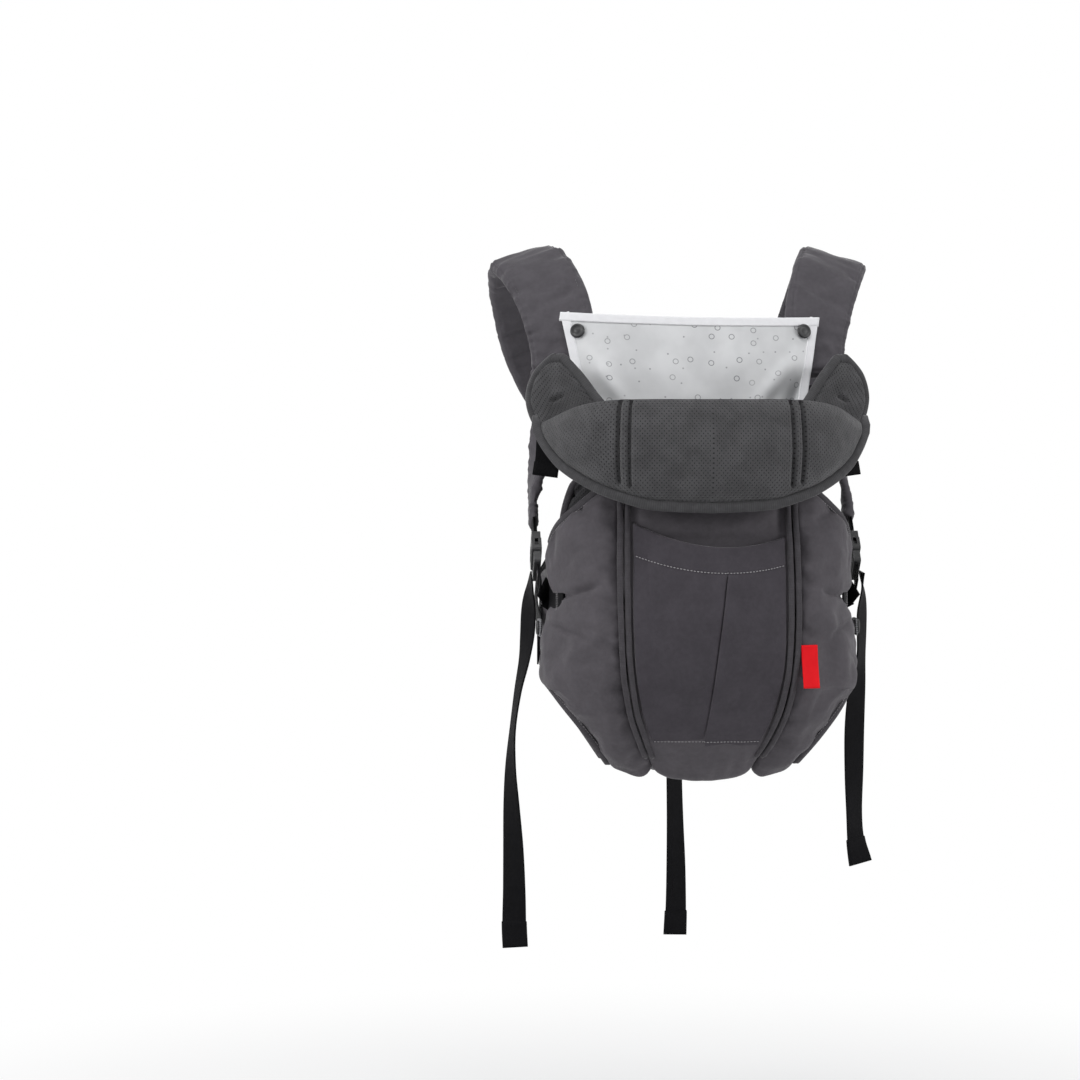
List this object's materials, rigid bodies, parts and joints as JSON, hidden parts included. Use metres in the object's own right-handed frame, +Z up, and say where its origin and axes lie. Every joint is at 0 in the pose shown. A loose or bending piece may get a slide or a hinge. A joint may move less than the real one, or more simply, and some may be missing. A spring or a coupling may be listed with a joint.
{
  "type": "soft baby carrier",
  "caption": "Soft front baby carrier: padded pouch with folding mesh headrest, removable bib, padded shoulder straps, gathered waistband and side release buckles on black webbing.",
  "frame": {"origin": "midway between the crests of the two shoulder straps, where they rest on the wearer's shoulders", "axes": "+X towards the wearer's left, +Y backwards, +Z up"},
  "size_m": [0.4082, 0.4384, 0.7649],
  "materials": {
    "shell_cloth": "woven polyester, soft sheen",
    "strap_cloth": "woven polyester, soft sheen",
    "air_mesh": "knitted air mesh, matt",
    "binding_tape": "folded grosgrain tape",
    "lining_mesh": "quilted mesh lining",
    "tag_tape": "satin woven tape",
    "ribbed_elastic": "ribbed elastic",
    "bib_satin": "satin with a small grey print",
    "bib_tape": "white binding tape",
    "snap_plastic": "moulded, semi-gloss",
    "webbing": "flat nylon webbing",
    "buckle_plastic": "moulded acetal, semi-gloss"
  },
  "bodies": {
    "carrier": {"centre_panel": "shell_cloth", "pocket": "shell_cloth", "red_tag": "tag_tape", "wing_left": "shell_cloth", "wing_right": "shell_cloth", "pipings": "binding_tape", "arm_bindings": "binding_tape", "leg_bindings": "binding_tape", "ear_left": "air_mesh", "ear_right": "air_mesh", "seat_base": "lining_mesh", "inner_panel": "lining_mesh", "wing_webbing": "webbing", "upper_webbing": "webbing", "strap_pad_left": "strap_cloth", "strap_pad_right": "strap_cloth", "strap_lower_left": "strap_cloth", "strap_lower_right": "strap_cloth", "snap_studs": "snap_plastic", "leg_tabs": "ribbed_elastic", "upper_plugs": "buckle_plastic", "lower_plugs": "buckle_plastic", "rear_plug": "buckle_plastic", "waistband_left": "shell_cloth", "waistband_right": "shell_cloth", "cross_webbing_left": "webbing", "cross_webbing_right": "webbing", "cross_patch": "binding_tape", "upper_loop_left": "webbing", "upper_loop_right": "webbing", "lower_loop_left": "webbing", "lower_loop_right": "webbing", "rear_loop": "webbing", "tail_left": "webbing", "tail_right": "webbing", "tail_rear": "webbing"},
    "headrest": {"headrest_pad": "air_mesh", "headrest_shell": "shell_cloth", "headrest_binding": "binding_tape", "headrest_snap": "snap_plastic"},
    "bib": {"bib": "bib_satin", "bib_binding": "bib_tape", "bib_snaps": "snap_plastic"},
    "upper_socket_left": {"upper_socket_left": "buckle_plastic"},
    "upper_arm_left_a": {"upper_arm_left_a": "buckle_plastic"},
    "upper_arm_left_b": {"upper_arm_left_b": "buckle_plastic"},
    "upper_socket_right": {"upper_socket_right": "buckle_plastic"},
    "upper_arm_right_a": {"upper_arm_right_a": "buckle_plastic"},
    "upper_arm_right_b": {"upper_arm_right_b": "buckle_plastic"},
    "lower_socket_left": {"lower_socket_left": "buckle_plastic"},
    "lower_arm_left_a": {"lower_arm_left_a": "buckle_plastic"},
    "lower_arm_left_b": {"lower_arm_left_b": "buckle_plastic"},
    "lower_socket_right": {"lower_socket_right": "buckle_plastic"},
    "lower_arm_right_a": {"lower_arm_right_a": "buckle_plastic"},
    "lower_arm_right_b": {"lower_arm_right_b": "buckle_plastic"},
    "rear_socket": {"rear_socket": "buckle_plastic"},
    "rear_arm_a": {"rear_arm_a": "buckle_plastic"},
    "rear_arm_b": {"rear_arm_b": "buckle_plastic"}
  },
  "joints": [
    {"name": "headrest_fold", "type": "hinge", "parent": "carrier", "child": "headrest", "pos_m": [0, -0.262, -0.15], "axis": [-1, 0, 0], "range_deg": [0, 165]},
    {"name": "bib_drop", "type": "hinge", "parent": "carrier", "child": "bib", "pos_m": [0, -0.158, -0.246], "axis": [1, 0, 0], "range_deg": [0, 18]},
    {"name": "upper_left_socket_slide", "type": "slide", "parent": "carrier", "child": "upper_socket_left", "axis": [0, 1, 0], "range_m": [0, 0.019], "deforming": ["upper_loop_left"]},
    {"name": "upper_left_squeeze_a", "type": "hinge", "parent": "carrier", "child": "upper_arm_left_a", "pos_m": [-0.152, -0.1475, -0.1173], "axis": [-1, 0, 0], "range_deg": [0, 6], "stiffness_Nm_per_rad": 0.05},
    {"name": "upper_left_squeeze_b", "type": "hinge", "parent": "carrier", "child": "upper_arm_left_b", "pos_m": [-0.152, -0.1475, -0.1387], "axis": [1, 0, 0], "range_deg": [0, 6], "stiffness_Nm_per_rad": 0.05},
    {"name": "upper_right_socket_slide", "type": "slide", "parent": "carrier", "child": "upper_socket_right", "axis": [0, 1, 0], "range_m": [0, 0.019], "deforming": ["upper_loop_right"]},
    {"name": "upper_right_squeeze_a", "type": "hinge", "parent": "carrier", "child": "upper_arm_right_a", "pos_m": [0.152, -0.1475, -0.1173], "axis": [-1, 0, 0], "range_deg": [0, 6], "stiffness_Nm_per_rad": 0.05},
    {"name": "upper_right_squeeze_b", "type": "hinge", "parent": "carrier", "child": "upper_arm_right_b", "pos_m": [0.152, -0.1475, -0.1387], "axis": [1, 0, 0], "range_deg": [0, 6], "stiffness_Nm_per_rad": 0.05},
    {"name": "lower_left_socket_slide", "type": "slide", "parent": "carrier", "child": "lower_socket_left", "axis": [0, 0.7071, 0.7071], "range_m": [0, 0.019], "deforming": ["lower_loop_left"]},
    {"name": "lower_left_squeeze_a", "type": "hinge", "parent": "carrier", "child": "lower_arm_left_a", "pos_m": [-0.165, -0.16386, -0.3066], "axis": [-1, 0, 0], "range_deg": [0, 6], "stiffness_Nm_per_rad": 0.05},
    {"name": "lower_left_squeeze_b", "type": "hinge", "parent": "carrier", "child": "lower_arm_left_b", "pos_m": [-0.165, -0.14873, -0.32173], "axis": [1, 0, 0], "range_deg": [0, 6], "stiffness_Nm_per_rad": 0.05},
    {"name": "lower_right_socket_slide", "type": "slide", "parent": "carrier", "child": "lower_socket_right", "axis": [0, 0.7071, 0.7071], "range_m": [0, 0.019], "deforming": ["lower_loop_right"]},
    {"name": "lower_right_squeeze_a", "type": "hinge", "parent": "carrier", "child": "lower_arm_right_a", "pos_m": [0.165, -0.16386, -0.3066], "axis": [-1, 0, 0], "range_deg": [0, 6], "stiffness_Nm_per_rad": 0.05},
    {"name": "lower_right_squeeze_b", "type": "hinge", "parent": "carrier", "child": "lower_arm_right_b", "pos_m": [0.165, -0.14873, -0.32173], "axis": [1, 0, 0], "range_deg": [0, 6], "stiffness_Nm_per_rad": 0.05},
    {"name": "rear_socket_slide", "type": "slide", "parent": "carrier", "child": "rear_socket", "axis": [-1, 0, 0], "range_m": [0, 0.019], "deforming": ["rear_loop"]},
    {"name": "rear_squeeze_a", "type": "hinge", "parent": "carrier", "child": "rear_arm_a", "pos_m": [0.003, 0.113, -0.36186], "axis": [0, -1, 0], "range_deg": [0, 6], "stiffness_Nm_per_rad": 0.05},
    {"name": "rear_squeeze_b", "type": "hinge", "parent": "carrier", "child": "rear_arm_b", "pos_m": [0.003, 0.113, -0.38326], "axis": [0, 1, 0], "range_deg": [0, 6], "stiffness_Nm_per_rad": 0.05}
  ],
  "couplings": [
    {"joint": "upper_left_squeeze_b", "follows": "upper_left_squeeze_a", "ratio": 1},
    {"joint": "upper_right_squeeze_b", "follows": "upper_right_squeeze_a", "ratio": 1},
    {"joint": "lower_left_squeeze_b", "follows": "lower_left_squeeze_a", "ratio": 1},
    {"joint": "lower_right_squeeze_b", "follows": "lower_right_squeeze_a", "ratio": 1},
    {"joint": "rear_squeeze_b", "follows": "rear_squeeze_a", "ratio": 1}
  ]
}
